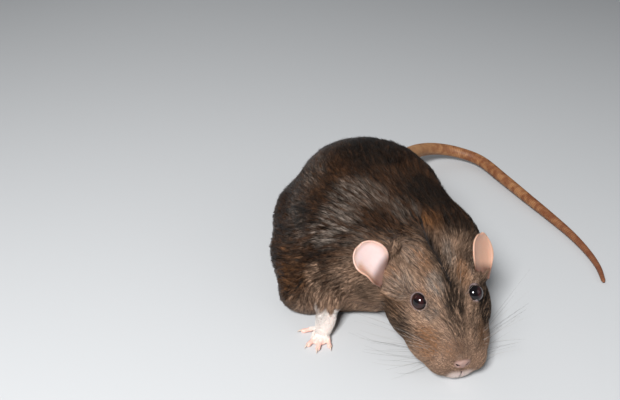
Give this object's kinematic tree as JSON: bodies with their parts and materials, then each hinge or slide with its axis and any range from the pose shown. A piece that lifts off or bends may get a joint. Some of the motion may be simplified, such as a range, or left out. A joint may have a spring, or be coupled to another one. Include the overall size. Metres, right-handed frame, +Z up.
{
  "type": "pet rat",
  "caption": "Life-size still model of a dark brown pet rat crouching on the floor with its head low and its tail curved beside it.",
  "frame": {"origin": "on the floor, under the middle of the animal's outline", "axes": "+Z up, the animal looks towards -Y, its right side is towards -X"},
  "size_m": [0.1727, 0.2129, 0.0697],
  "materials": {
    "coat": "short glossy dark brown fur",
    "nose_skin": "moist pinkish brown skin",
    "bare_skin": "bare pink skin",
    "tail_skin": "ringed scaly skin, peach mottled with brown",
    "eye": "wet black with a red-brown depth",
    "claw": "translucent horn",
    "whisker": "fine stiff hair"
  },
  "bodies": {
    "root": {"torso": "coat", "head": "coat", "neck": "coat", "nose": "nose_skin", "hindleg_right": "coat", "hindleg_left": "coat", "foreleg_right": "coat", "foreleg_left": "coat", "ear_right": "bare_skin", "ear_left": "bare_skin", "forepaw_right": "bare_skin", "forepaw_left": "bare_skin", "hindpaw_right": "bare_skin", "hindpaw_left": "bare_skin", "eye_right": "eye", "eye_left": "eye", "tail_1": "tail_skin", "tail_2": "tail_skin", "tail_3": "tail_skin", "tail_4": "tail_skin", "tail_5": "tail_skin"}
  },
  "joints": []
}
